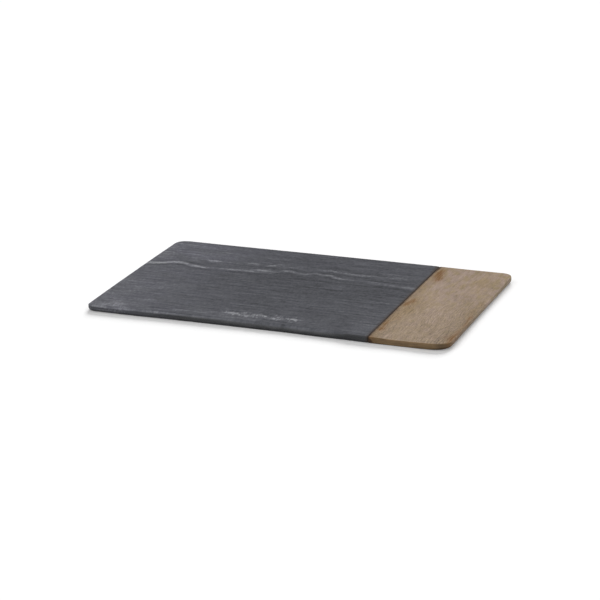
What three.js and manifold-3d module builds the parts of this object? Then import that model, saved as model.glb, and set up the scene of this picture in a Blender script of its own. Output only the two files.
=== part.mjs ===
// Serving and cutting board: a thin marble slab with a wooden end block.
// The two are butted together, located by concealed dowel pins and bonded by a dark resin bed.
// Millimetres, +Z up. The origin is under the middle of the board and +X points to the wooden end.

import * as THREE from 'three';
import { mergeVertices } from 'three/addons/utils/BufferGeometryUtils.js';
import Module from 'manifold-3d';

const wasm = await Module();
wasm.setup();

// Overall size of the board
const BOARD_LENGTH = 460;
const BOARD_WIDTH = 298;
const BOARD_THICKNESS = 8.5;

// Length of the wooden end, from the middle of the joint
const WOOD_LENGTH = 98;

// Corner radii in plan: each corner is shaped by hand, so no two are quite alike
const WOOD_NEAR_CORNER = 20;
const WOOD_FAR_CORNER = 13;
const MARBLE_FAR_CORNER = 16;
const MARBLE_NEAR_CORNER = 11;

// Eased edges: nearly crisp along the top of the long sides, fuller over the wooden end,
// and full all round the underside, where fingers go in to lift the board
const SIDE_EASE = 0.8;
const MARBLE_END_EASE = 1.5;
const WOOD_END_EASE = 4.2;
const BOTTOM_EASE = 3;

// The stone's long sides are rounded over by hand, fullest in the middle of the near side.
// Each pair is a share of the way from the stone's end to the joint, and a share of the full round.
const NEAR_ROUND = [[0, 0.33], [0.11, 0.45], [0.3, 0.61], [0.47, 0.71], [0.57, 0.94], [0.7, 0.94],
  [0.8, 0.82], [0.88, 0.78], [0.93, 0]];
const FAR_ROUND = [[0, 0.45], [0.22, 0.45], [0.5, 0.15], [0.8, 0]];

// The near side of the stone is ground a little hollow: shares of the way, and of the hollow's depth
const HOLLOW_DEPTH = 3;
const NEAR_HOLLOW = [[0.05, 0], [0.2, 0.3], [0.28, 0.73], [0.47, 1], [0.7, 1], [0.8, 0.53], [1, 0]];

// Joint: the bed is a dark resin film, set back a little from the surface all round
const BED_THICKNESS = 0.8;
const BED_RECESS = 0.6;
const JOINT_ARRIS = 0.4;

// Dowel pins in blind holes, half in the marble and half in the wood
const PIN_PLACES = ['near', 'middle', 'far'];
const PIN_SPACING = 100;
const PIN_DIAMETER = 4;
const PIN_LENGTH = 40;
const PIN_CHAMFER = 0.6;
const PIN_CLEARANCE = 0.3;
const HOLE_RELIEF = 1;
const DRILL_POINT_ANGLE = 118;

// Fineness of the round shapes
const CORNER_STEPS = 12;
const SIDE_STEPS = 40;
const EASE_STEPS = 6;
const ROUND_STEPS = 32;

// How far a cutting shape reaches past the board
const TOOL_REACH = 10;

// Places that follow from the sizes
const JOINT_X = BOARD_LENGTH / 2 - WOOD_LENGTH;
const MARBLE_LENGTH = BOARD_LENGTH - WOOD_LENGTH;
const FULL_ROUND = BOARD_THICKNESS - BOTTOM_EASE;
const MARBLE_FACE_X = JOINT_X - BED_THICKNESS / 2;
const WOOD_FACE_X = JOINT_X + BED_THICKNESS / 2;
const PIN_HEIGHT = BOARD_THICKNESS / 2;
const HOLE_RADIUS = PIN_DIAMETER / 2 + PIN_CLEARANCE;
const QUARTER_TURN = Math.PI / 2;

const materials = {
  marble: new THREE.MeshStandardMaterial({ color: 0x5d6064, roughness: 0.5, metalness: 0 }),
  wood: new THREE.MeshStandardMaterial({ color: 0x9b8a76, roughness: 0.65, metalness: 0 }),
  resin: new THREE.MeshStandardMaterial({ color: 0x2a211b, roughness: 0.45, metalness: 0 }),
  steel: new THREE.MeshStandardMaterial({ color: 0xb4b6b8, roughness: 0.35, metalness: 1 }),
};

// The value at a place, from hand-set [place, value] pairs with straight runs between them
function between(pairs, place) {
  const next = pairs.findIndex(([start]) => start >= place);
  if (next < 0) return pairs[pairs.length - 1][1];
  if (next === 0) return pairs[0][1];
  const [[start, low], [end, high]] = pairs.slice(next - 1, next + 1);
  return THREE.MathUtils.mapLinear(place, start, end, low, high);
}

function middleOf(points) {
  const sum = points.reduce((total, point) => total.add(point), new THREE.Vector3());
  return sum.divideScalar(points.length);
}

// A closed body through rings of points, each ring turning anticlockwise about the way of travel
function loft(rings) {
  const count = rings[0].length;
  const last = (rings.length - 1) * count;
  const firstMiddle = rings.length * count;
  const lastMiddle = firstMiddle + 1;
  const index = [];
  for (let i = 0; i < count; i++) {
    const j = (i + 1) % count;
    for (let ring = 0; ring < last; ring += count) {
      index.push(ring + i, ring + j, ring + count + j);
      index.push(ring + i, ring + count + j, ring + count + i);
    }
    index.push(firstMiddle, j, i);
    index.push(lastMiddle, last + i, last + j);
  }
  const points = [...rings.flat(), middleOf(rings[0]), middleOf(rings[rings.length - 1])];
  const geometry = new THREE.BufferGeometry().setFromPoints(points);
  geometry.setIndex(index);
  return geometry;
}

// A point on an outline, with its outward normal
function edgePoint(x, y, turn, radius) {
  const normal = new THREE.Vector2(Math.cos(turn), Math.sin(turn));
  return { normal, place: new THREE.Vector2(x, y).addScaledVector(normal, radius) };
}

// The arc of one rounded corner: quarter 0 turns from facing down to facing right
function cornerArc({ x, y, radius }, quarter) {
  const points = [];
  for (let step = 0; step <= CORNER_STEPS; step++) {
    points.push(edgePoint(x, y, (quarter - 1 + step / CORNER_STEPS) * QUARTER_TURN, radius));
  }
  return points;
}

// The points between the ends of two arcs that face the same way
function straightRun({ place, normal }, { place: end }, steps) {
  const points = [];
  for (let step = 1; step < steps; step++) {
    points.push({ normal, place: place.clone().lerp(end, step / steps) });
  }
  return points;
}

// How far along the stone a place is: 0 at its end, 1 at the joint
function shareOfStone(place) {
  return (place.x + BOARD_LENGTH / 2) / MARBLE_LENGTH;
}

// The board seen from above
function planOutline() {
  const x = BOARD_LENGTH / 2;
  const y = BOARD_WIDTH / 2;
  const [woodNear, woodFar, marbleFar, marbleNear] = [
    { x: x - WOOD_NEAR_CORNER, y: WOOD_NEAR_CORNER - y, radius: WOOD_NEAR_CORNER },
    { x: x - WOOD_FAR_CORNER, y: y - WOOD_FAR_CORNER, radius: WOOD_FAR_CORNER },
    { x: MARBLE_FAR_CORNER - x, y: y - MARBLE_FAR_CORNER, radius: MARBLE_FAR_CORNER },
    { x: MARBLE_NEAR_CORNER - x, y: MARBLE_NEAR_CORNER - y, radius: MARBLE_NEAR_CORNER },
  ].map(cornerArc);
  const farSide = straightRun(woodFar[CORNER_STEPS], marbleFar[0], SIDE_STEPS);
  const nearSide = straightRun(marbleNear[CORNER_STEPS], woodNear[0], SIDE_STEPS);
  const outline = [woodNear, woodFar, farSide, marbleFar, marbleNear, nearSide].flat();
  for (const { place } of outline) {
    if (place.y < 0) place.y += HOLLOW_DEPTH * between(NEAR_HOLLOW, shareOfStone(place)) * -place.y / y;
  }
  return outline;
}

// The board's cross-section at the joint, as a ring at one place along the length
function sectionRing(inset, x) {
  const y = BOARD_WIDTH / 2;
  const outline = [
    { x: y - BOTTOM_EASE, y: BOTTOM_EASE, radius: BOTTOM_EASE },
    { x: y - SIDE_EASE, y: BOARD_THICKNESS - SIDE_EASE, radius: SIDE_EASE },
    { x: SIDE_EASE - y, y: BOARD_THICKNESS - SIDE_EASE, radius: SIDE_EASE },
    { x: BOTTOM_EASE - y, y: BOTTOM_EASE, radius: BOTTOM_EASE },
  ].flatMap(cornerArc);
  return outline.map(({ place, normal }) => {
    const moved = place.addScaledVector(normal, -inset);
    return new THREE.Vector3(x, moved.x, moved.y);
  });
}

// How far the top edge is rounded, by where it is and the way that it faces
function topEase(place, normal) {
  const round = between(place.y < 0 ? NEAR_ROUND : FAR_ROUND, shareOfStone(place));
  const side = THREE.MathUtils.lerp(SIDE_EASE, FULL_ROUND, round);
  const end = place.x < 0 ? MARBLE_END_EASE : WOOD_END_EASE;
  return THREE.MathUtils.lerp(side, end, normal.x ** 4);
}

// The whole board before it is parted at the joint: rings that follow the eased edges upwards
function wholeBoard() {
  const outline = planOutline();
  const ring = (easeOf, turn, height) => outline.map(({ place, normal }) => {
    const ease = easeOf(place, normal);
    const { x, y } = place.clone().addScaledVector(normal, -ease * (1 - Math.cos(turn)));
    return new THREE.Vector3(x, y, height(ease * (1 - Math.sin(turn))));
  });
  const rings = [];
  for (let step = EASE_STEPS; step >= 0; step--) {
    const turn = (step / EASE_STEPS) * QUARTER_TURN;
    rings.push(ring(() => BOTTOM_EASE, turn, (rise) => rise));
  }
  for (let step = 0; step <= EASE_STEPS; step++) {
    const turn = (step / EASE_STEPS) * QUARTER_TURN;
    rings.push(ring(topEase, turn, (drop) => BOARD_THICKNESS - drop));
  }
  return loft(rings);
}

// What is kept on the marble side of the joint, with the arris broken at 45 degrees
function marbleSide() {
  return loft([
    sectionRing(-TOOL_REACH, -BOARD_LENGTH / 2 - TOOL_REACH),
    sectionRing(-TOOL_REACH, MARBLE_FACE_X - JOINT_ARRIS - TOOL_REACH),
    sectionRing(JOINT_ARRIS, MARBLE_FACE_X),
  ]);
}

// What is kept on the wood side of the joint
function woodSide() {
  return loft([
    sectionRing(JOINT_ARRIS, WOOD_FACE_X),
    sectionRing(-TOOL_REACH, WOOD_FACE_X + JOINT_ARRIS + TOOL_REACH),
    sectionRing(-TOOL_REACH, BOARD_LENGTH / 2 + TOOL_REACH),
  ]);
}

function resinBed() {
  return loft([sectionRing(BED_RECESS, MARBLE_FACE_X), sectionRing(BED_RECESS, WOOD_FACE_X)]);
}

// A round body about the Y axis, from the points of one half of its profile
function turned(profile) {
  return new THREE.LatheGeometry(profile.map(([r, y]) => new THREE.Vector2(r, y)), ROUND_STEPS);
}

function dowelPin() {
  const radius = PIN_DIAMETER / 2;
  const end = PIN_LENGTH / 2;
  return turned([
    [0, -end],
    [radius - PIN_CHAMFER, -end],
    [radius, PIN_CHAMFER - end],
    [radius, end - PIN_CHAMFER],
    [radius - PIN_CHAMFER, end],
    [0, end],
  ]);
}

// The space that a pin needs across the joint: a drilled hole with a drill point at each end
function drilledSpace(y) {
  const end = PIN_LENGTH / 2 + HOLE_RELIEF;
  const point = HOLE_RADIUS / Math.tan(THREE.MathUtils.degToRad(DRILL_POINT_ANGLE / 2));
  const space = turned([
    [0, -end - point],
    [HOLE_RADIUS, -end],
    [HOLE_RADIUS, end],
    [0, end + point],
  ]);
  return space.rotateZ(QUARTER_TURN).translate(JOINT_X, y, PIN_HEIGHT);
}

// A solid for cutting, from a closed geometry with its seams merged
function toSolid(geometry) {
  const bare = geometry.clone().deleteAttribute('normal').deleteAttribute('uv');
  const merged = mergeVertices(bare);
  const corners = merged.index.array;
  const kept = [];
  for (let i = 0; i < corners.length; i += 3) {
    const [a, b, c] = corners.slice(i, i + 3);
    if (a !== b && b !== c && c !== a) kept.push(a, b, c);
  }
  return new wasm.Manifold(new wasm.Mesh({
    numProp: 3,
    vertProperties: new Float32Array(merged.attributes.position.array),
    triVerts: new Uint32Array(kept),
  }));
}

function toGeometry(solid) {
  const { vertProperties, triVerts } = solid.getMesh();
  const geometry = new THREE.BufferGeometry();
  geometry.setAttribute('position', new THREE.BufferAttribute(vertProperties, 3));
  geometry.setIndex(new THREE.BufferAttribute(triVerts, 1));
  geometry.computeVertexNormals();
  return geometry;
}

const board = new THREE.Group();

function addPiece(name, geometry, material) {
  const piece = new THREE.Mesh(geometry, material);
  piece.name = name;
  board.add(piece);
  return piece;
}

const pins = PIN_PLACES.map((place, i) => ({
  name: `dowel_pin_${place}`,
  y: (i - (PIN_PLACES.length - 1) / 2) * PIN_SPACING,
}));
const holes = pins.map(({ y }) => toSolid(drilledSpace(y)));
const drilled = (solid) => toGeometry(holes.reduce((rest, hole) => rest.subtract(hole), solid));

const whole = toSolid(wholeBoard());
addPiece('marble_slab', drilled(whole.intersect(toSolid(marbleSide()))), materials.marble);
addPiece('wood_end', drilled(whole.intersect(toSolid(woodSide()))), materials.wood);
addPiece('resin_bed', drilled(toSolid(resinBed())), materials.resin);

for (const { name, y } of pins) {
  const pin = addPiece(name, dowelPin(), materials.steel);
  pin.position.set(JOINT_X, y, PIN_HEIGHT);
  pin.rotation.z = QUARTER_TURN;
}

export default board;
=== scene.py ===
import math

import bpy
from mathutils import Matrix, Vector, noise

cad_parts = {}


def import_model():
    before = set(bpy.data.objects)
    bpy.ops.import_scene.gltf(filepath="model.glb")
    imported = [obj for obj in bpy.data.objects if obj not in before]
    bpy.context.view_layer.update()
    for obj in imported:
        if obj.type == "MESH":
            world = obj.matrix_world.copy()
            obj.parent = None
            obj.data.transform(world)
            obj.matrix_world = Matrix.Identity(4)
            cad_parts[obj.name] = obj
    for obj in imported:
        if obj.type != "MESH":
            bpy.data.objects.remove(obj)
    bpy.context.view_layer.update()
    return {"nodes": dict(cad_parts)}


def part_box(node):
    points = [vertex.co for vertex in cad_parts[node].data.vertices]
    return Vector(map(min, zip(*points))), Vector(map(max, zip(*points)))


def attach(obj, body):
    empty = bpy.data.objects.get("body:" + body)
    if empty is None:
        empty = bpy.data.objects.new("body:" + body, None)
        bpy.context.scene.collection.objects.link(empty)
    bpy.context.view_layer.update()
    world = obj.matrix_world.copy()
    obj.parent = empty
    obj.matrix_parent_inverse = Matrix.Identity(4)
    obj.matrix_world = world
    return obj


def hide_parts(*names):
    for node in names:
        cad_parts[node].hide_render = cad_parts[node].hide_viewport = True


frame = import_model()

# Sizes are in millimetres, in the board's frame: +X to the wooden end, +Y to the far side, +Z up
MM = 0.001

marble_low, marble_high = (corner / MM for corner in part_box("marble_slab"))
wood_low, wood_high = (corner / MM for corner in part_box("wood_end"))
THICKNESS = marble_high.z
HALF_WIDTH = marble_high.y

# Corner radii in plan, near and far
MARBLE_CORNERS = (9.5, 16)
WOOD_CORNERS = (20, 13)


def edge(inset, drop, under=3.0, rise=3.0, bevel=0.0):
    """How an edge is eased: the top's inset and drop, the same underneath, and how flat the top's is."""
    return inset, drop, under, rise, bevel


# The edges of the long sides, along X
MARBLE_NEAR_EDGE = [
    (-230, edge(2.8, 2.2, 4.6, 4.4, bevel=0.9)), (-190, edge(3.2, 2.4, 3.2, 3.2, bevel=0.9)),
    (-150, edge(3.8, 2.8, 2.6, 2.6, bevel=0.6)), (-110, edge(4.2, 3.4, 2.4, 2.4, bevel=0.2)),
    (-60, edge(4.6, 4.0, 2.2, 2.4)), (-25, edge(7.0, 5.2, 2.2, 2.4)), (25, edge(7.5, 5.6, 2.2, 2.2)),
    (70, edge(7.6, 5.8, 2.2, 2.2)), (90, edge(6.0, 4.2, 2.4, 2.4)), (100, edge(2.4, 2.2, 2.6, 2.6)),
    (107, edge(0.3, 0.3, 2.6, 2.6)), (132, edge(0.3, 0.3, 2.0, 2.0)),
]
MARBLE_FAR_EDGE = [(-150, edge(2.8, 2.8)), (-50, edge(1.3, 1.3)), (60, edge(0.5, 0.5))]
WOOD_NEAR_EDGE = [(132, edge(0.6, 0.6, 1.8, 1.8)), (205, edge(0.5, 0.5, 2.2, 2.2)),
                  (222, edge(0.6, 0.6, 4.4, 4.2))]
WOOD_FAR_EDGE = [(132, edge(1.0, 1.0)), (170, edge(1.6, 1.6)), (222, edge(0.6, 0.6))]

# The edges of the two ends, along Y
MARBLE_END_EDGE = [(-149, edge(0.6, 0.6, 4.6, 4.4)), (-100, edge(0.5, 0.5)), (0, edge(1.5, 1.5)),
                   (90, edge(0.4, 0.4))]
WOOD_END_EDGE = [(-149, edge(4.0, 3.4, 5.0, 4.8)), (149, edge(4.0, 3.4, 5.0, 4.8))]

# Round a corner the end's edge takes over with this power of how far the rim has turned to the end
END_POWER = 4

# The bevel on the two joint faces
JOINT_ARRIS = 0.4

# The stone's near edge is ground a little hollow: (X, depth), eased out over this width of the slab
MARBLE_HOLLOW = [(-230, 0.0), (-190, 0.2), (-160, 0.9), (-130, 2.2), (-60, 3.1), (25, 3.0), (60, 1.6),
                 (132, 0.2)]
WOOD_HOLLOW = [(132, 0.0), (200, 0.0), (230, 0.6)]
HOLLOW_REACH = 90.0

# The wood is sanded lower along its near edge: (X, depth), fading out over this distance from the edge
WOOD_WEAR = [(142, 0.0), (160, 0.8), (182, 0.7), (198, 0.15), (208, 0.0)]
MARBLE_WEAR = [(-230, 0.0)]
WEAR_REACH = 18.0

# Meshes: the flat of a face is a grid, and rings at these distances from the edge follow its round.
# The rim that the rings take up is wider than any round and narrower than the smallest corner radius.
GRID_STEP = 2.5
RIM = 9.0
RING_DISTANCES = (7.6, 5.8, 4.6, 3.6, 2.8, 2.1, 1.5, 1.0, 0.6, 0.3, 0.1, 0.0)
WALL_STEPS = 3
SHARP_ANGLE = 32

# Drilled holes round the pins: clearance, room past the pin's end, the angle of the drill's point, and in
# the mesh the sides of the hole and the least room between it and the squares of the wall
PIN_NODES = ("dowel_pin_near", "dowel_pin_middle", "dowel_pin_far")
PIN_CLEARANCE = 0.3
HOLE_RELIEF = 1.0
DRILL_POINT_ANGLE = 118
HOLE_STEPS = 32
HOLE_MARGIN = 1.0

# Hand finishing leaves the faces, the outline and the rounds a little uneven, on each piece in its own way.
# The rounds' share of unevenness is taken from another height of the same noise.
FACE_WAVE = 0.05
FACE_WAVE_LENGTH = 38
EDGE_WAVE = 0.16
EDGE_WAVE_LENGTH = 17
ROUND_WAVE = 0.2
ROUND_WAVE_LENGTH = 8.5
ROUND_WAVE_HEIGHT = 9.0
MARBLE_SEED = 3.0
WOOD_SEED = 11.0

# Camera, by the fit of the board's outline in the photograph
CAMERA_AZIMUTH = 19.662
CAMERA_ELEVATION = 17.816
CAMERA_DISTANCE = 2933.8
CAMERA_TARGET = (1.59, -19.58, 0.0)
CAMERA_LENS = 142.0
CAMERA_REACH = 100000.0


def between(points, place):
    """The value or values at a place, from (place, value) pairs with straight runs between them."""
    (start, low), (end, high) = points[0], points[0]
    for following in points[1:]:
        if place <= end:
            break
        (start, low), (end, high) = (end, high), following
    share = min(1.0, max(0.0, (place - start) / (end - start))) if end > start else 0.0
    if isinstance(low, tuple):
        return tuple(a + (b - a) * share for a, b in zip(low, high))
    return low + (high - low) * share


class Field:
    """A number that varies over a surface: a node socket that adds up like a plain number."""

    def __init__(self, graph, socket):
        self.graph = graph
        self.socket = socket

    def __add__(self, other):
        return self.graph.math("ADD", self, other)

    def __sub__(self, other):
        return self.graph.math("SUBTRACT", self, other)

    def __rsub__(self, other):
        return self.graph.math("SUBTRACT", other, self)

    def __mul__(self, other):
        return self.graph.math("MULTIPLY", self, other)

    def __truediv__(self, other):
        return self.graph.math("DIVIDE", self, other)

    def __pow__(self, other):
        return self.graph.math("POWER", self, other)

    def __abs__(self):
        return self.graph.math("ABSOLUTE", self)

    __radd__ = __add__
    __rmul__ = __mul__

    def rise(self, start, end):
        """0 up to start, 1 from end on, and smooth between the two."""
        node = self.graph.node("ShaderNodeMapRange", {0: self, 1: start, 2: end})
        node.interpolation_type = "SMOOTHSTEP"
        return Field(self.graph, node.outputs[0])

    def along(self, points):
        """A smooth curve through given (place, value) points."""
        places = [p for p, _ in points]
        values = [v for _, v in points]
        low, high = min(values), max(values)
        span = max(high - low, 1e-6)
        node = self.graph.node("ShaderNodeFloatCurve")
        node.mapping.extend = "HORIZONTAL"
        line = node.mapping.curves[0]
        while len(line.points) < len(points):
            line.points.new(0.5, 0.5)
        for spot, (place, value) in zip(line.points, points):
            spot.location = ((place - places[0]) / (places[-1] - places[0]), (value - low) / span)
        node.mapping.update()
        share = (self - places[0]) / (places[-1] - places[0])
        self.graph.link(share, node.inputs[1])
        return Field(self.graph, node.outputs[0]) * span + low


class Graph:
    """The node tree of one material, with the board's coordinates in millimetres."""

    def __init__(self, name):
        self.material = bpy.data.materials.new(name)
        self.material.use_nodes = True
        self.tree = self.material.node_tree
        self.tree.nodes.clear()
        coordinates = self.node("ShaderNodeTexCoord")
        self.x, self.y, self.z = (part * (1 / MM) for part in self.parts(coordinates.outputs["Object"]))
        self.facing = self.parts(coordinates.outputs["Normal"])

    def node(self, kind, inputs=None):
        node = self.tree.nodes.new(kind)
        for key, value in (inputs or {}).items():
            self.link(value, node.inputs[key])
        return node

    def link(self, value, socket):
        if isinstance(value, Field):
            value = value.socket
        if isinstance(value, bpy.types.NodeSocket):
            self.tree.links.new(value, socket)
        else:
            socket.default_value = value

    def parts(self, socket):
        split = self.node("ShaderNodeSeparateXYZ", {0: socket})
        return [Field(self, output) for output in split.outputs]

    def math(self, operation, *values):
        node = self.node("ShaderNodeMath", dict(enumerate(values)))
        node.operation = operation
        return Field(self, node.outputs[0])

    def noise(self, x, y, z=0.0, detail=2.0, roughness=0.5):
        """Smooth noise about 0, mostly within 0.5 either way."""
        place = self.node("ShaderNodeCombineXYZ", {0: x, 1: y, 2: z})
        node = self.node("ShaderNodeTexNoise", {
            "Vector": place.outputs[0], "Scale": 1.0, "Detail": detail, "Roughness": roughness,
        })
        return Field(self, node.outputs[0]) - 0.5

    def ramp(self, value, stops):
        """A colour for each value, from (value, linear colour) stops."""
        node = self.node("ShaderNodeValToRGB", {0: value})
        elements = node.color_ramp.elements
        while len(elements) < len(stops):
            elements.new(0.5)
        for element, (place, colour) in zip(elements, stops):
            element.position = place
            element.color = (*colour, 1)
        return node.outputs[0]

    def mix(self, share, first, second, blend="MIX"):
        node = self.node("ShaderNodeMix")
        node.data_type = "RGBA"
        node.blend_type = blend
        self.link(share, node.inputs["Factor"])
        for name, colour in (("A", first), ("B", second)):
            socket = next(s for s in node.inputs if s.name == name and s.type == "RGBA")
            self.link((*colour, 1) if isinstance(colour, tuple) else colour, socket)
        return next(s for s in node.outputs if s.type == "RGBA")

    def scale(self, colour, value):
        node = self.node("ShaderNodeVectorMath", {0: colour})
        node.operation = "SCALE"
        self.link(value, node.inputs["Scale"])
        return node.outputs[0]

    def surface(self, colour, roughness, height=None, bump=0.0, **values):
        """Ends the tree with a principled surface. The height is in millimetres."""
        shader = self.node("ShaderNodeBsdfPrincipled", {"Base Color": colour, "Roughness": roughness})
        for name, value in values.items():
            shader.inputs[name.replace("_", " ")].default_value = value
        if height is not None:
            relief = self.node("ShaderNodeBump", {"Height": height, "Strength": bump, "Distance": MM})
            self.link(relief.outputs[0], shader.inputs["Normal"])
        self.node("ShaderNodeOutputMaterial", {"Surface": shader.outputs[0]})
        return self.material


# Marble: pale veins as (X, Y) down the middle, (X, strength) and (X, half width)
MAIN_VEIN = dict(
    path=[(-230, 39), (-214, 43), (-200, 51), (-190, 53.5), (-175, 49), (-158, 44.5), (-140, 43),
          (-120, 45), (-104, 48), (-88, 50), (-73, 55), (-62, 53), (-54, 59), (-44, 64), (-34, 61),
          (-20, 58), (-8, 66), (2, 62), (12, 63), (18, 58), (32, 55.5), (48, 56), (62, 52.5),
          (76, 51), (96, 50), (112, 49), (132, 45)],
    strength=[(-230, 0.45), (-204, 1.2), (-187, 1.1), (-172, 0.9), (-159, 1.0), (-138, 0.22), (-122, 0.75),
              (-100, 0.75), (-76, 0.95), (-60, 0.5), (-52, 0.55), (-41, 0.95), (-30, 0.5), (-12, 0.7),
              (4, 0.85), (13, 0.95), (21, 1.25), (32, 0.7), (42, 0.6), (56, 0.22), (76, 0.8), (98, 0.85),
              (110, 0.4), (121, 0.75), (132, 0.5)],
    width=[(-230, 7.2), (-98, 7.2), (-88, 9.5), (-74, 13.0), (-56, 8.0), (-40, 7.2), (108, 7.2),
           (120, 10.0), (132, 10.0)],
    speckle=1.2, gain=0.58,
)
WISP_VEIN = dict(
    path=[(-230, 70), (-200, 76), (-170, 80), (-148, 73), (-128, 76), (-105, 78), (-80, 76), (-60, 86),
          (-46, 79), (-28, 87), (-10, 80), (8, 82), (26, 81), (42, 76), (60, 78), (80, 75), (100, 79),
          (132, 74)],
    strength=[(-230, 0.0), (-188, 0.12), (-172, 0.16), (-160, 0.24), (-150, 0.42), (-132, 0.06),
              (-104, 0.25), (-96, 0.46), (-84, 0.08), (-70, 0.44), (-55, 0.05), (-42, 0.2), (-24, 0.0),
              (10, 0.36), (36, 0.36), (60, 0.32), (76, 0.22), (98, 0.26), (112, 0.1), (132, 0.0)],
    width=[(-230, 9.0), (132, 9.0)], speckle=3.0, gain=1.0,
)
NEAR_VEIN = dict(
    path=[(-230, -133), (-205, -139), (-190, -136), (-172, -135), (-150, -138), (-132, -135), (-112, -131),
          (-90, -130), (-78, -126), (-62, -122), (-48, -120), (-30, -122), (-18, -116), (-4, -122),
          (8, -124), (22, -121), (34, -119), (48, -124), (66, -124), (84, -126), (110, -126), (132, -128)],
    strength=[(-230, 0.0), (-198, 0.22), (-172, 0.0), (-160, 0.0), (-150, 0.4), (-134, 0.35), (-112, 1.25),
              (-95, 0.25), (-75, 0.7), (-61, 0.35), (-50, 1.5), (-32, 0.5), (-16, 1.1), (-4, 0.9), (11, 1.5),
              (21, 0.7), (31, 1.35), (44, 0.25), (66, 0.25), (85, 0.0), (110, 0.2), (132, 0.12)],
    width=[(-230, 6.0), (132, 6.0)], speckle=1.6, gain=0.42,
)

# Dark hairlines in the stone, as (X, Y) and (X, strength), each with one half width
DARK_LINES = [
    dict(path=[(-230, 33), (-204, 39), (-186, 43), (-168, 39), (-140, 37), (-100, 34), (-60, 30), (-20, 36),
               (40, 36), (80, 36), (132, 33)],
         strength=[(-230, 0.3), (-186, 0.8), (-165, 0.3), (-100, 0.15), (-60, 0.5), (10, 0.7), (80, 0.45),
                   (132, 0.4)],
         width=4.0),
    dict(path=[(-230, 0), (-130, -2), (-112, -2), (-90, -5), (-70, 0), (-40, 0), (-10, 3), (20, 9), (32, 7),
               (52, 12), (70, 14), (132, 16)],
         strength=[(-230, 0.0), (-130, 0.2), (-112, 0.6), (-90, 0.15), (-40, 0.25), (-10, 0.7), (32, 0.8),
                   (52, 0.9), (80, 0.6), (132, 0.5)],
         width=2.6),
    dict(path=[(-230, -20), (-60, -18), (-20, -20), (0, -18), (20, -14), (60, -13), (90, -10), (132, -8)],
         strength=[(-230, 0.05), (-70, 0.15), (-20, 0.6), (20, 0.45), (60, 0.5), (132, 0.3)],
         width=3.4),
    dict(path=[(-230, -76), (-170, -79), (-100, -78), (-60, -76), (-20, -78), (132, -84)],
         strength=[(-230, 0.2), (-165, 0.4), (-120, 0.5), (-60, 0.45), (-20, 0.35), (30, 0.1), (132, 0.0)],
         width=3.6),
    dict(path=[(-230, 118), (-60, 115), (-20, 112), (15, 110), (38, 112), (50, 120), (132, 124)],
         strength=[(-230, 0.0), (-90, 0.2), (-20, 0.5), (15, 0.6), (40, 0.8), (52, 0.2), (132, 0.1)],
         width=3.4),
    dict(path=[(-230, -146), (-160, -144), (-60, -141), (40, -141), (132, -140)],
         strength=[(-230, 0.0), (-165, 0.2), (-140, 0.3), (-60, 0.1), (10, 0.2), (90, 0.3), (132, 0.6)],
         width=3.4),
]

# A cloudy patch of broken vein near the near edge, as (X, strength) about one Y, and a fault that crosses
# the two upper veins, as (Y, X) and (Y, strength)
PATCH_STRENGTH = [(-230, 0.0), (-80, 0.0), (-60, 0.5), (-52, 1.0), (-20, 1.0), (32, 1.1), (42, 0.0),
                  (132, 0.0)]
PATCH_Y = -120.0
FAULT_PATH = [(40, -40), (62, -47), (72, -52), (84, -58), (97, -66), (110, -76), (149, -98)]
FAULT_STRENGTH = [(40, 0.0), (60, 0.1), (70, 0.22), (95, 0.2), (112, 0.0), (149, 0.0)]

# Smudges, as (X, Y, half length, half width, added tone): broken vein, and paler and darker clouds.
# One more, beside the joint, is crumbly, so its tone varies.
BROKEN_SMUDGES = [(94, 90, 18, 9, 0.28), (-197, -140, 20, 15, 0.32)]
CLOUD_SMUDGES = [
    (-42, -133, 36, 15, 0.12), (-150, 95, 50, 18, 0.06), (-138, -135, 48, 13, -0.085),
    (94, -128, 16, 14, -0.04), (118, 70, 16, 9, -0.05),
]
CRUMBLY_SMUDGE = (117, -112, 18, 20)

# Paler towards the left end, as (X, added tone), and slow bands across the slab, as (Y, added tone)
# The left end's paleness is partly the stone's own tone and partly a painted sheen
MARBLE_HAZE_AND_SHEEN = [(-230, 0.24), (-195, 0.18), (-150, 0.12), (-100, 0.05), (-40, 0.0), (60, 0.0), (132, 0.05)]
MARBLE_BANDS = [(-149, 0.08), (-120, 0.05), (-75, 0.02), (-40, 0.02), (-15, -0.02), (28, -0.03),
                (55, -0.02), (90, 0.01), (149, 0.03)]

# Where the stone is a little violet, as (X, share), with the tints of that stone and of the long sides
MARBLE_VIOLET = [(-230, 0.6), (-160, 0.75), (-90, 0.4), (0, 0.3), (132, 0.25)]
MARBLE_VIOLET_TINT = (0.99, 0.97, 1.05)
MARBLE_SIDE_TINT = (1.0, 0.99, 0.92)

# Tone to linear colour, from the dark hairlines to the brightest vein
MARBLE_TONES = [
    (0.0, (0.034, 0.035, 0.0395)),
    (0.25, (0.0755, 0.0775, 0.087)),
    (0.5, (0.117, 0.120, 0.133)),
    (1.0, (0.33, 0.335, 0.348)),
]
MARBLE_PLAIN_TONE = 0.275

# Bedding streaks, as (run length, share): the short ones show on the honed faces alone
MARBLE_LONG_BEDS = [(70, 0.58), (26, 0.56)]
MARBLE_SHORT_BEDS = [(9, 0.28), (3.2, 0.54)]

# The veins are sheets that lean over as they go down through the slab
VEIN_LEAN = 1.3

# Resin rubbed into the stone along the joint, over this X, and wider at the joint's far end, over this Y
MARBLE_SMEAR = (0.066, 0.050, 0.041)
MARBLE_SMEAR_X = (127.6, 131.8)
JOINT_FLOOD_Y = (112.0, 140.0)
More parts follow.
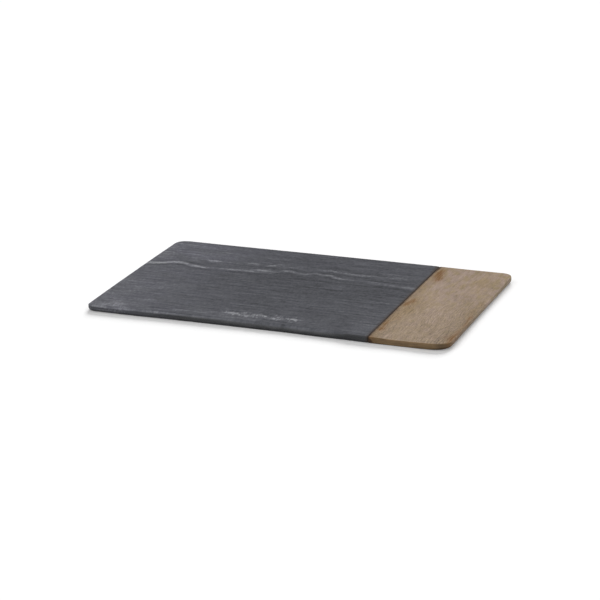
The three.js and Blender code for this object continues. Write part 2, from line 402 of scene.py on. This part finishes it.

# Painted highlight on the slope of the near edge, and painted shade on the steep sides, deepest at their
# foot, as (X, amount)
MARBLE_EDGE_HIGHLIGHT = [(-230, 0.0), (-212, 0.06), (-200, 0.2), (-174, 0.36), (-150, 0.56), (-130, 0.85),
                 (-110, 0.75), (-90, 0.35), (-60, 0.35), (-35, 0.15), (-10, 0.0), (132, 0.0)]
MARBLE_WALL_SHADE = [(-230, 0.04), (-95, 0.1), (-72, 0.2), (-30, 0.26), (0, 0.17), (30, 0.12), (70, 0.22),
               (90, 0.06), (111, 0.2), (132, 0.12)]


def marble_material():
    g = Graph("honed_marble")
    x, z = g.x, g.z
    leaning = g.y + (THICKNESS - z) * VEIN_LEAN
    wander = g.noise(x / 26, leaning / 14, detail=3.0)
    y = leaning + wander * 4.0
    mottle = g.noise(x / 8, y / 6.5, z / 6, detail=4.0, roughness=0.65)
    crumbs = g.noise(x / 3.0, y / 3.6, z / 4, detail=3.0, roughness=0.7)

    def ribbon(path, strength, width, speckle, gain):
        """A vein of bright strands and specks inside a soft band, with dark borders."""
        off = y - x.along(path) + crumbs * 2.0
        width = x.along(width)
        band = 1.0 - abs(off).rise(0.0, width)
        strands = (g.noise(x / 8, off / 3.4, detail=3.0, roughness=0.65) + 0.1).rise(-0.2, 0.34)
        border = abs(off).rise(width * 0.5, width) * (1.0 - abs(off).rise(width * 1.2, width * 2.0))
        return (band * (strands * 0.5 + crumbs * speckle + 0.36) - border * 0.14) * x.along(strength) * gain

    def hairline(path, strength, width):
        off = abs(y - x.along(path)) + mottle * (width * 0.8)
        return (1.0 - off.rise(0.0, width)) * x.along(strength)

    chips = g.noise(x / 2.8, y / 8.0, z / 4, detail=2.0, roughness=0.6)
    flakes = (mottle * 0.6 + chips * 0.8).rise(-0.06, 0.24)
    patch = (1.0 - abs(y - PATCH_Y).rise(3.0, 16.0)) * x.along(PATCH_STRENGTH) * flakes
    off_fault = abs(x - y.along(FAULT_PATH)) + mottle * 4.0
    fault = (1.0 - off_fault.rise(0.0, 5.0)) * y.along(FAULT_STRENGTH)

    def smudge(spot_x, spot_y, half_length, half_width, tone):
        off = ((x - spot_x) / half_length) ** 2.0 + ((y - spot_y) / half_width) ** 2.0
        return (1.0 - off.rise(0.1, 1.4)) * tone

    broken = sum(smudge(*spot) for spot in BROKEN_SMUDGES)
    clouds = sum(smudge(*spot) for spot in CLOUD_SMUDGES) + smudge(*CRUMBLY_SMUDGE, 0.05 + crumbs * 0.3)
    pale = ribbon(**MAIN_VEIN) + ribbon(**WISP_VEIN) + ribbon(**NEAR_VEIN)
    pale = pale + patch * 0.56 + fault * 0.35 + broken * flakes + clouds
    dark = sum(hairline(**line) for line in DARK_LINES)

    # Fine bedding along the slab with dark seams, and the glitter of the crystals
    def beds(runs):
        return sum(g.noise(x / run, y / 4.8, run, detail=1.0) * share for run, share in runs)

    level = abs(g.facing[2]).rise(0.5, 0.97)
    bedding = beds(MARBLE_LONG_BEDS) + beds(MARBLE_SHORT_BEDS) * level
    seams = g.noise(x / 15, y / 4.4, 5.0, detail=2.0, roughness=0.65).rise(0.05, 0.26) * (0.3 + level * 0.7)
    broad = g.noise(x / 150, y / 16, detail=2.0)
    grain = g.noise(x * 0.8, g.y * 0.8, z * 0.8, detail=2.0, roughness=0.7)
    tone = MARBLE_PLAIN_TONE + x.along(MARBLE_HAZE_AND_SHEEN) + y.along(MARBLE_BANDS)
    tone = tone + bedding * 0.75 + broad * 0.08 + grain * 0.5 - seams * 0.16
    slope = abs(g.facing[1])
    # Painted highlight: the slope of the near edge's round is paler, with a crumbly grain
    edge_highlight = slope.rise(0.15, 0.4) * (1.0 - slope.rise(0.75, 0.92)) * x.along(MARBLE_EDGE_HIGHLIGHT)
    steep = slope.rise(0.6, 0.9)
    tone = tone + pale - dark * 0.16 + edge_highlight * (0.3 + crumbs * 0.4)
    # Painted shade: the steep sides are darker, most towards their foot
    tone = tone - steep * x.along(MARBLE_WALL_SHADE) * (1.0 - z.rise(1.5, 5.0) * 0.65)

    colour = g.ramp(tone, MARBLE_TONES)
    violet = (g.noise(x / 42, y / 24, 3.0, detail=3.0) + 0.35).rise(0.0, 0.6) * x.along(MARBLE_VIOLET)
    violet = violet * (0.8 + y.rise(70.0, 105.0) * 0.6)
    colour = g.mix(violet, colour, MARBLE_VIOLET_TINT, blend="MULTIPLY")
    colour = g.mix(steep * x.rise(-180.0, -110.0), colour, MARBLE_SIDE_TINT, blend="MULTIPLY")
    smear = (x + mottle * 4.0 + y.rise(*JOINT_FLOOD_Y) * 2.0).rise(*MARBLE_SMEAR_X)
    colour = g.mix(smear * 0.8, colour, MARBLE_SMEAR)
    roughness = 0.56 + grain * 0.12 + pale * 0.08
    height = grain * 0.06 + bedding * 0.06 + mottle * pale * 0.06
    return g.surface(colour, roughness, height, bump=0.35, Specular_IOR_Level=0.2)


# Wood: stains as (X, Y, half width, half length, strength), most of them where resin soaked in at the joint
WOOD_STAINS = [
    (141, 116, 5.5, 19, 1.3), (147, 94, 5.5, 16, 1.05), (139, 134, 8.0, 13, 0.25), (136, 62, 3.0, 9, 0.35),
    (142, -2, 6.0, 13, 0.8), (139, -14, 3.5, 8, 0.75), (138, -20, 3.5, 8, 0.4), (147, -71, 2.5, 8, 0.65),
    (137, -95, 3.5, 13, 1.0), (139, -117, 4.5, 10, 1.2), (134, -149, 9.0, 9, 0.6), (226, -44, 3.2, 13, 0.95),
    (222, -20, 4.0, 14, 0.2), (228, -70, 3.4, 16, 0.65), (227, -98, 4.0, 13, 0.5),
    (227, -126, 4.5, 22, 0.95), (219, -122, 5.0, 12, 0.35), (225, 12, 3.6, 13, 0.35),
    (225, 136, 4.0, 10, 0.15),
]

# Warmer parts of the plank, written the same way
WOOD_BLUSHES = [
    (147, -25, 13, 55, 0.8), (206, 92, 12, 42, 0.8), (222, -18, 8, 40, 0.6), (140, 128, 10, 30, 0.5),
    (181, 78, 8, 20, 0.4), (162, 10, 8, 30, 0.35), (140, -74, 6, 14, 0.9), (147, -40, 7, 16, 0.5),
]

# Pinker parts, and lighter and darker parts, as (X, Y, half width, half length, gain)
WOOD_PINKS = [(166, 98, 15, 24, 0.3), (151, 52, 7, 18, 0.45), (182, -42, 14, 26, 0.2)]
WOOD_LIGHTS = [
    (148, 50, 6, 26, 0.15), (149, 20, 5, 18, 0.05), (140, -64, 4.5, 24, 0.13), (224, 128, 8, 14, 0.06),
    (180, -40, 14, 30, 0.04), (160, 108, 7, 18, -0.05), (192, -95, 9, 18, -0.08), (195, 30, 16, 16, -0.06),
    (155, -22, 4, 14, -0.06), (218, -128, 6, 12, -0.06), (206, -50, 6, 20, -0.05), (217, -35, 6, 14, 0.07),
]

# One dark growth line beside the joint, as (Y, X) and (Y, strength), with its half width and depth of tone
WOOD_LINE_PATH = [(-149, 138), (-76, 146), (-40, 152.4), (-4, 158.7), (40, 165)]
WOOD_LINE_STRENGTH = [(-149, 0.0), (-96, 0.0), (-76, 0.8), (-40, 0.7), (-8, 1.0), (14, 0.0), (40, 0.0)]
WOOD_LINE_WIDTH = 1.8
WOOD_LINE_DEPTH = 0.17

# Linear colours of the plank, its stains, its end grain and the resin soaked in at the joint, over this X
WOOD_PALE = (0.342, 0.261, 0.213)
WOOD_WARM = (0.317, 0.245, 0.152)
WOOD_BLUSH = (0.325, 0.236, 0.135)
WOOD_STAIN = (0.180, 0.085, 0.030)
WOOD_HALO = (0.290, 0.187, 0.092)
WOOD_END_GRAIN = (0.385, 0.252, 0.122)
WOOD_PORE = (0.115, 0.072, 0.040)
WOOD_JOINT_TINT = (0.268, 0.192, 0.116)
WOOD_SEEP = (0.060, 0.034, 0.022)
WOOD_SEEP_X = (132.4, 135.4)

# Broad light and dark parts of the plank, as (X, added tone), on its far and near halves
WOOD_FAR_SHADE = [(132, -0.03), (145, 0.03), (165, 0.06), (190, 0.02), (215, 0.03), (230, 0.0)]
WOOD_NEAR_SHADE = [(132, -0.06), (150, -0.01), (175, 0.06), (195, 0.01), (215, -0.07), (230, -0.19)]

# Light and dark parts of the end grain, as (X, gain)
WOOD_END_SHADE = [(132, 0.74), (142, 0.82), (160, 1.0), (194, 1.06), (210, 0.94), (217, 0.56),
                  (223, 0.42), (230, 0.4)]


def wood_material():
    g = Graph("oiled_wood")
    x, y, z = g.x, g.y, g.z
    sway = g.noise(x / 60, y / 75, detail=1.0)
    across = x + sway * 12.0
    far = y.rise(-50.0, 50.0)

    # Growth rings show as long bands across the plank, with fine fibres, specks and short open pores
    rings = g.noise(across / 8, y / 90, z / 9, detail=3.0, roughness=0.6)
    broad = g.noise(across / 26, y / 60, z / 24, detail=2.0)
    figure = g.noise(across / 4.5, y / 13, z / 4.5, detail=2.0)
    fibre = g.noise(across / 1.1, y / 21, z / 1.1, detail=2.0, roughness=0.6)
    specks = g.noise(x / 0.9, y / 2.6, z / 0.9, detail=1.0)
    flecks = g.noise(across / 0.9, y / 8, z / 0.9 + 40.0, detail=2.0)
    pores = flecks.rise(0.08, 0.28)
    glints = (flecks * -1.0).rise(0.12, 0.34)
    shade = x.along(WOOD_FAR_SHADE) * far + x.along(WOOD_NEAR_SHADE) * (1.0 - far)
    growth = g.math("SINE", g.noise(x / 36, y / 95, z / 30, detail=2.0) * 42.0)
    corner = x.rise(185.0, 212.0) * (1.0 - y.rise(-138.0, -100.0))
    coarse = rings * 0.16 + broad * 0.16 + figure * (0.16 + far * 0.3) + growth * (0.012 + far * 0.02)
    fine = (fibre * (1.1 + corner) + specks * 1.05) * (1.0 - far * 0.5) - glints * (0.25 - far * 0.2)
    off_line = abs(x + sway * 3.0 - y.along(WOOD_LINE_PATH)) + fibre * 1.2
    line = 1.0 - off_line.rise(0.0, WOOD_LINE_WIDTH)
    tone = shade - coarse - fine - line * y.along(WOOD_LINE_STRENGTH) * WOOD_LINE_DEPTH + 0.96

    def patches(spots, x, y):
        """Soft ovals added up."""
        def oval(spot_x, spot_y, half_width, half_length, strength):
            off = ((x - spot_x) / half_width) ** 2.0 + ((y - spot_y) / half_length) ** 2.0
            return g.math("EXPONENT", off * -1.1) * strength

        return sum(oval(*spot) for spot in spots)

    warmth = g.noise(across / 6, y / 16, 9.0, detail=3.0, roughness=0.6) + growth * (0.03 + far * 0.06)
    tone = tone + patches(WOOD_LIGHTS, x, y)
    yellow = ((warmth + 0.5).rise(0.3, 0.74) - 0.5) * (0.5 + far * 0.6) + 0.5 - patches(WOOD_PINKS, x, y)
    colour = g.mix(yellow, WOOD_PALE, WOOD_WARM)
    colour = g.mix(patches(WOOD_BLUSHES, x, y) * (warmth + 0.6), colour, WOOD_BLUSH)
    joint_tint = (1.0 - (x + sway * 14.0).rise(133.0, 151.0)) * 0.55
    colour = g.mix(joint_tint, colour, WOOD_JOINT_TINT)
    colour = g.scale(colour, tone)

    # The two long sides of the board cut the plank's end grain, which drinks more oil
    end_grain = (abs(g.facing[1]) + x.rise(208.0, 222.0) * 0.35).rise(0.45, 0.85)
    streaks = g.noise(x / 14, y / 40, z / 0.8, detail=3.0, roughness=0.6)
    end_colour = g.mix((streaks + 0.45).rise(0.1, 0.9), WOOD_END_GRAIN, WOOD_PORE)
    blotches = g.noise(x / 9, y / 40, z / 5, detail=2.0) * 0.5 + 1.0
    # Painted light: the end grain is paler towards its foot, short of the end wall's corner
    foot = (1.0 - z.rise(0.6, 2.6)) * (1.0 - x.rise(210.0, 222.0)) * 0.35 + 1.0
    end_colour = g.scale(end_colour, x.along(WOOD_END_SHADE) * blotches * foot)
    colour = g.mix(end_grain * 0.85, colour, end_colour)

    # The end wall is painted a little paler towards its foot: painted light
    colour = g.scale(colour, g.facing[0].rise(0.5, 0.95) * (1.0 - z.rise(2.0, 6.5)) * 0.6 + 1.0)

    # Stains with ragged outlines, each inside a paler halo
    wet_x = x + g.noise(x / 6, y / 18, detail=2.0) * 5.0
    wet_y = y + g.noise(x / 5, y / 15, 7.0, detail=2.0) * 12.0
    stain = patches(WOOD_STAINS, wet_x, wet_y) * (0.9 + fibre * 1.7 + specks * 0.8)
    colour = g.mix(stain.rise(-0.1, 0.9) * 0.4, colour, WOOD_HALO)
    colour = g.mix(stain.rise(0.05, 1.35) * 0.9, colour, WOOD_STAIN)
    colour = g.mix(pores * (0.3 + far * 0.1), colour, WOOD_PORE)

    # Resin soaked into the wood beside the joint
    sagging = end_grain * (1.0 - z.rise(2.0, 7.0)) * 4.0 + y.rise(*JOINT_FLOOD_Y) * 1.5
    seep = 1.0 - (x - sagging + g.noise(x / 5, y / 7, z / 3, detail=2.0) * 2.5).rise(*WOOD_SEEP_X)
    colour = g.mix(seep * 0.9, colour, WOOD_SEEP)

    roughness = 0.66 + fibre * 0.16 + pores * 0.12
    height = fibre * 0.1 - pores * 0.15
    return g.surface(colour, roughness, height, bump=0.4, Specular_IOR_Level=0.2)


def resin_material():
    g = Graph("dark_resin")
    cloud = g.noise(g.x / 3, g.y / 6, g.z / 3, detail=3.0)
    colour = g.ramp(cloud + 0.5, [(0.3, (0.010, 0.008, 0.007)), (0.75, (0.035, 0.022, 0.014))])
    return g.surface(colour, 0.5 + cloud * 0.3, cloud * 0.1, bump=0.3, Specular_IOR_Level=0.3)


def steel_material():
    g = Graph("ground_steel")
    scratches = g.noise(g.x * 2.5, g.y / 4, g.z / 4, detail=3.0, roughness=0.7)
    colour = g.ramp(scratches + 0.5, [(0.2, (0.42, 0.42, 0.43)), (0.8, (0.62, 0.62, 0.63))])
    return g.surface(colour, 0.34 + scratches * 0.2, scratches * 0.02, bump=0.2, Metallic=1.0)


def quarter_round(u, v):
    """Carries a point of a unit square onto the quarter disc with the same two straight sides."""
    if u >= v:
        radius, turn = u, math.pi / 4 * (v / u if u else 0.0)
    else:
        radius, turn = v, math.pi / 2 - math.pi / 4 * (u / v)
    return radius * math.cos(turn), radius * math.sin(turn)


class Slab:
    """One piece of the board as a mesh: a grid on each face, and rings that follow the eased edges."""

    def __init__(self, joint_x, end_x, corners, edges, hollow, wear, seed):
        self.joint_x = joint_x
        self.way = 1 if end_x > joint_x else -1
        self.length = abs(end_x - joint_x)
        self.corners = corners
        *self.side_edges, self.end_edge = edges
        self.hollow = hollow
        self.wear = wear
        self.seed = seed
        self.columns = round(self.length / GRID_STEP)
        self.rows = round(2 * HALF_WIDTH / GRID_STEP)

    def plan(self, column, row, inset):
        """Where a grid point lies, as (distance from the joint, Y), on the outline drawn in by an inset."""
        start = JOINT_ARRIS * inset / RIM
        along = start + (self.length - inset - start) * column / self.columns
        half = HALF_WIDTH - inset
        across = half * (2 * row / self.rows - 1)
        side = -1 if across < 0 else 1
        corner = self.corners[side > 0]
        radius = corner - inset
        u = (along - (self.length - corner)) / radius
        v = (abs(across) - (HALF_WIDTH - corner)) / radius
        if u > 0 and v > 0:
            u, v = quarter_round(u, v)
            along = self.length - corner + radius * u
            across = side * (HALF_WIDTH - corner + radius * v)
        near = max(0.0, 1 - (HALF_WIDTH + across) / HOLLOW_REACH)
        across += near * between(self.hollow, self.joint_x + self.way * along)
        return along, across

    def wave(self, x, y, z, length):
        """Smooth noise from 0 to 1, with bumps of about this length."""
        return (noise.noise(Vector((x / length, y / length, z / length + self.seed))) + 1) / 2

    def point(self, along, across, z):
        """A vertex, let down by the unevenness and the wear of the top, which the bottom lacks."""
        x = self.joint_x + self.way * along
        sink = FACE_WAVE * self.wave(along, across, z, FACE_WAVE_LENGTH)
        near = max(0.0, 1 - (across + HALF_WIDTH) / WEAR_REACH)
        sink += between(self.wear, x) * near * near
        return Vector((x, across, z - sink * z / THICKNESS)) * MM

    def border(self):
        """The grid points round the rim: near side, end, far side, joint."""
        near = [(i, 0) for i in range(self.columns)]
        end = [(self.columns, j) for j in range(self.rows)]
        far = [(i, self.rows) for i in range(self.columns, 0, -1)]
        joint = [(0, j) for j in range(self.rows, 0, -1)]
        return near + end + far + joint

    def footprint(self, inset):
        """The rim on the floor, from the joint's near end to its far end, drawn in by an inset."""
        rim = self.border()[:2 * self.columns + self.rows + 1]
        places = [self.plan(*place, inset) for place in rim]
        return [Vector((self.joint_x + self.way * along, across, 0.0)) * MM for along, across in places]

    def edge(self, inner, outer):
        """How the edge is rounded at a place on the rim, by the way that it faces there."""
        facing = Vector((outer[0] - inner[0], outer[1] - inner[1])).normalized()
        x = self.joint_x + self.way * outer[0]
        side = between(self.side_edges[outer[1] > 0], x)
        end = between(self.end_edge, outer[1])
        wave = self.wave(*outer, ROUND_WAVE_HEIGHT, ROUND_WAVE_LENGTH)
        uneven = 1 + ROUND_WAVE * (wave - 0.5)
        return [uneven * (s + (e - s) * facing.x ** END_POWER) for s, e in zip(side, end)]

    @staticmethod
    def fall(distance, inset, drop, bevel=0.0):
        """How far an elliptical round, or a flatter bevel, has fallen at a distance from the edge."""
        reach = max(0.0, 1 - distance / inset)
        rounded = 1 - math.sqrt(max(0.0, 1 - reach * reach))
        return drop * (rounded + (reach - rounded) * bevel)

    def rim_points(self, column, row):
        """The points down the edge at one place: round over the top, wall, round under the bottom."""
        inner = self.plan(column, row, RIM)
        outer = self.plan(column, row, 0.0)
        pull = EDGE_WAVE * self.wave(outer[0], outer[1], 0.0, EDGE_WAVE_LENGTH)
        at_joint = column == 0
        at_side = row in (0, self.rows)
        rounded = at_side or not at_joint
        top_inset, top_drop, bottom_inset, bottom_rise, bevel = self.edge(inner, outer)

        def place(distance, *ease):
            share = 1 - distance / RIM
            along = inner[0] + (outer[0] - inner[0]) * share
            across = inner[1] + (outer[1] - inner[1]) * share
            falls = []
            if rounded:
                falls.append(self.fall(distance, *ease))
            if at_joint:
                falls.append(JOINT_ARRIS * share)
            if at_joint and at_side:
                across -= math.copysign(JOINT_ARRIS / 2 * share, across)
                along += JOINT_ARRIS / 2 * share
            if not at_joint:
                across -= math.copysign(pull * share, across) if at_side else 0.0
                along -= 0.0 if at_side else pull * share
            return along, across, max(falls)

        points = []
        for distance in RING_DISTANCES:
            along, across, down = place(distance, top_inset, top_drop, bevel)
            points.append((along, across, THICKNESS - down))
        along, across, top = points[-1]
        bottom = place(0.0, bottom_inset, bottom_rise)[2]
        for step in range(1, WALL_STEPS):
            points.append((along, across, top + (bottom - top) * step / WALL_STEPS))
        for distance in reversed(RING_DISTANCES):
            points.append(place(distance, bottom_inset, bottom_rise))
        return points

    def drill(self, node, vertices, joint):
        """A pin's blind hole in the joint face: its faces, and the rows of the wall that they take over."""
        low, high = (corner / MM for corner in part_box(node))
        middle = (low + high) / 2
        radius = (high.y - low.y) / 2 + PIN_CLEARANCE
        bottom_x = (high if self.way > 0 else low).x + self.way * HOLE_RELIEF
        point = radius / math.tan(math.radians(DRILL_POINT_ANGLE / 2))

        def row_at(y):
            return (y + HALF_WIDTH) / (2 * HALF_WIDTH) * self.rows

        first = math.floor(row_at(middle.y - radius - HOLE_MARGIN))
        last = math.ceil(row_at(middle.y + radius + HOLE_MARGIN))
        rows = range(first, last + 1)
        outer = [joint[row][k] for row in rows for k in (0, WALL_STEPS)]
        outer += [joint[row][k] for row in (first, last) for k in range(1, WALL_STEPS)]

        def circle(x):
            start = len(vertices)
            for step in range(HOLE_STEPS):
                turn = math.tau * (step + 0.5) / HOLE_STEPS - math.pi
                across, up = radius * math.cos(turn), radius * math.sin(turn)
                vertices.append(Vector((x, middle.y - across, middle.z + up)) * MM)
            return list(range(start, start + HOLE_STEPS))

        mouth, bottom = circle(self.joint_x), circle(bottom_x)
        tip = len(vertices)
        vertices.append(Vector((bottom_x + self.way * point, middle.y, middle.z)) * MM)

        def turn_of(vertex):
            place = vertices[vertex] / MM - middle
            return math.atan2(place.z, -place.y)

        # Triangles between the mouth and the wall round it, going once round the two
        outer.sort(key=turn_of)
        faces = []
        wall_end, mouth_end = outer[-1], mouth[-1]
        for vertex in sorted(outer + mouth, key=turn_of):
            if vertex in outer:
                faces.append([wall_end, vertex, mouth_end])
                wall_end = vertex
            else:
                faces.append([vertex, mouth_end, wall_end])
                mouth_end = vertex
        for k in range(HOLE_STEPS):
            after = (k + 1) % HOLE_STEPS
            faces.append([mouth[k], mouth[after], bottom[after], bottom[k]])
            faces.append([bottom[k], bottom[after], tip])
        return faces, rows[1:]

    def build(self, name, material):
        """The whole piece as one closed mesh, drilled in its joint face."""
        vertices, faces = [], []

        def face_grid(z):
            first = len(vertices)
            for i in range(self.columns + 1):
                for j in range(self.rows + 1):
                    vertices.append(self.point(*self.plan(i, j, RIM), z))
            step = self.rows + 1
            for i in range(self.columns):
                for j in range(self.rows):
                    corner = first + i * step + j
                    square = [corner, corner + step, corner + step + 1, corner + 1]
                    faces.append(square if z > 0 else square[::-1])
            return [first + i * step + j for i, j in self.border()]

        top, bottom = face_grid(THICKNESS), face_grid(0.0)
        strips = []
        for (i, j), above, below in zip(self.border(), top, bottom):
            strip = [above]
            for along, across, z in self.rim_points(i, j):
                strip.append(len(vertices))
                vertices.append(self.point(along, across, z))
            strips.append(strip + [below])

        wall = range(len(RING_DISTANCES), len(RING_DISTANCES) + WALL_STEPS)
        places = zip(self.border(), strips)
        joint = {j: strip[wall.start:wall.stop + 1] for (i, j), strip in places if i == 0}
        drilled_rows = set()
        for node in PIN_NODES:
            hole_faces, rows = self.drill(node, vertices, joint)
            faces += hole_faces
            drilled_rows.update(rows)
        for (i, j), strip, following in zip(self.border(), strips, strips[1:] + strips[:1]):
            drilled = wall if i == 0 and j in drilled_rows else ()
            for k in range(len(strip) - 1):
                if k not in drilled:
                    faces.append([strip[k], strip[k + 1], following[k + 1], following[k]])
        if self.way < 0:
            faces = [face[::-1] for face in faces]

        mesh = bpy.data.meshes.new(name)
        mesh.from_pydata(vertices, [], faces)
        mesh.validate()
        mesh.shade_smooth()
        mesh.set_sharp_from_angle(angle=math.radians(SHARP_ANGLE))
        mesh.materials.append(material)
        piece = bpy.data.objects.new(name, mesh)
        bpy.context.scene.collection.objects.link(piece)
        return piece


def dress(piece, node):
    """Puts a piece in a CAD node's place."""
    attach(piece, "root")
    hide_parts(node)


marble = Slab(marble_high.x, marble_low.x, MARBLE_CORNERS,
              (MARBLE_NEAR_EDGE, MARBLE_FAR_EDGE, MARBLE_END_EDGE), MARBLE_HOLLOW, MARBLE_WEAR, MARBLE_SEED)
marble_piece = marble.build("marble_slab_honed", marble_material())
dress(marble_piece, "marble_slab")
wood = Slab(wood_low.x, wood_high.x, WOOD_CORNERS,
            (WOOD_NEAR_EDGE, WOOD_FAR_EDGE, WOOD_END_EDGE), WOOD_HOLLOW, WOOD_WEAR, WOOD_SEED)
wood_piece = wood.build("wood_end_oiled", wood_material())
dress(wood_piece, "wood_end")


def finish_node(node, material):
    """Gives a CAD node that stays its material."""
    slots = frame["nodes"][node].data.materials
    slots.clear()
    slots.append(material)


finish_node("resin_bed", resin_material())
steel = steel_material()
for node in PIN_NODES:
    finish_node(node, steel)


# Stage: a wide white floor that keeps the board's soft shadow, under a dim ceiling with a white cove.
# The floor is open under the flat of the board, so that the underside shows from below: it laps under the
# board's edge, a hair lower, and spreads out to this many times the opening.
FLOOR_SPREAD = 260
FLOOR_LAP = 6.0
FLOOR_DROP = 0.02
FLOOR_WHITE = 0.92
FLOOR_GLOW = 0.16
FLOOR_BOUNCE = 0.25
CEILING_LIGHT = 0.22
COVE_LIGHT = 1.0
COVE_HEIGHTS = (0.06, 0.16)


def floor():
    """The floor's ring: white to the eye, and dimmer in the light that it throws back on the board."""
    rim = wood.footprint(FLOOR_LAP) + marble.footprint(FLOOR_LAP)[::-1]
    count = len(rim)
    quads = [(k, k + count, (k + 1) % count + count, (k + 1) % count) for k in range(count)]
    mesh = bpy.data.meshes.new("floor")
    mesh.from_pydata(rim + [place * FLOOR_SPREAD for place in rim], [], quads)
    g = Graph("white_floor")
    path = g.node("ShaderNodeLightPath").outputs
    seen = Field(g, path["Is Camera Ray"]) + Field(g, path["Is Glossy Ray"])
    seen = g.math("MINIMUM", seen + Field(g, path["Is Transmission Ray"]), 1.0)
    shade = g.mix(seen, (FLOOR_BOUNCE,) * 3, (FLOOR_WHITE,) * 3)
    lit = g.node("ShaderNodeBsdfDiffuse", {"Color": shade})
    glow = g.node("ShaderNodeEmission", {"Strength": seen * FLOOR_GLOW})
    surface = g.node("ShaderNodeAddShader", {0: lit.outputs[0], 1: glow.outputs[0]})
    g.node("ShaderNodeOutputMaterial", {"Surface": surface.outputs[0]})
    mesh.materials.append(g.material)
    plane = bpy.data.objects.new("floor", mesh)
    plane.location.z = -FLOOR_DROP * MM
    bpy.context.scene.collection.objects.link(plane)
    return plane


def world():
    """The cove's white up to just over the horizon, and the dim ceiling above it."""
    sky = bpy.data.worlds.new("studio")
    sky.use_nodes = True
    nodes, links = sky.node_tree.nodes, sky.node_tree.links
    heading = nodes.new("ShaderNodeTexCoord").outputs["Generated"]
    height = nodes.new("ShaderNodeSeparateXYZ")
    strength = nodes.new("ShaderNodeMapRange")
    strength.interpolation_type = "SMOOTHSTEP"
    limits = ("From Min", "From Max", "To Min", "To Max")
    for socket, value in zip(limits, (*COVE_HEIGHTS, COVE_LIGHT, CEILING_LIGHT)):
        strength.inputs[socket].default_value = value
    links.new(heading, height.inputs[0])
    links.new(height.outputs["Z"], strength.inputs["Value"])
    nodes["Background"].inputs["Color"].default_value = (1, 1, 1, 1)
    links.new(strength.outputs[0], nodes["Background"].inputs["Strength"])
    bpy.context.scene.world = sky


def direction(azimuth, elevation):
    """A unit vector from the board towards a place seen at an azimuth, as the camera's is counted."""
    a, e = math.radians(azimuth), math.radians(elevation)
    return Vector((math.sin(a) * math.cos(e), -math.cos(a) * math.cos(e), math.sin(e)))


def softbox(name, azimuth, elevation, width, light, receivers):
    """A far, broad lamp, wide in degrees, that gives level surfaces this much light."""
    data = bpy.data.lights.new(name, "SUN")
    data.angle = math.radians(width)
    data.energy = math.pi * light / math.sin(math.radians(elevation))
    lamp = bpy.data.objects.new(name, data)
    lamp.rotation_mode = "QUATERNION"
    lamp.rotation_quaternion = direction(azimuth, elevation).to_track_quat("Z", "Y")
    lamp.light_linking.receiver_collection = receivers
    bpy.context.scene.collection.objects.link(lamp)


def group(name, *pieces):
    collection = bpy.data.collections.new(name)
    for piece in pieces:
        collection.objects.link(piece)
    return collection


def camera():
    data = bpy.data.cameras.new("camera")
    data.lens = CAMERA_LENS
    data.clip_end = CAMERA_REACH * MM
    eye = bpy.data.objects.new("camera", data)
    back = direction(CAMERA_AZIMUTH, CAMERA_ELEVATION)
    eye.location = (Vector(CAMERA_TARGET) + back * CAMERA_DISTANCE) * MM
    eye.rotation_mode = "QUATERNION"
    eye.rotation_quaternion = (-back).to_track_quat("-Z", "Y")
    bpy.context.scene.collection.objects.link(eye)
    bpy.context.scene.camera = eye


world()
on_board = group("on_board", marble_piece, wood_piece, frame["nodes"]["resin_bed"])
on_floor = group("on_floor", floor())
softbox("key_softbox", azimuth=48, elevation=68, width=50, light=0.75, receivers=on_board)
softbox("back_softbox", azimuth=189, elevation=23, width=30, light=0.5, receivers=on_floor)
softbox("left_softbox", azimuth=291, elevation=42, width=44, light=0.15, receivers=on_floor)
softbox("right_softbox", azimuth=100, elevation=50, width=40, light=0.08, receivers=on_floor)
camera()
bpy.context.scene.view_settings.view_transform = "Standard"
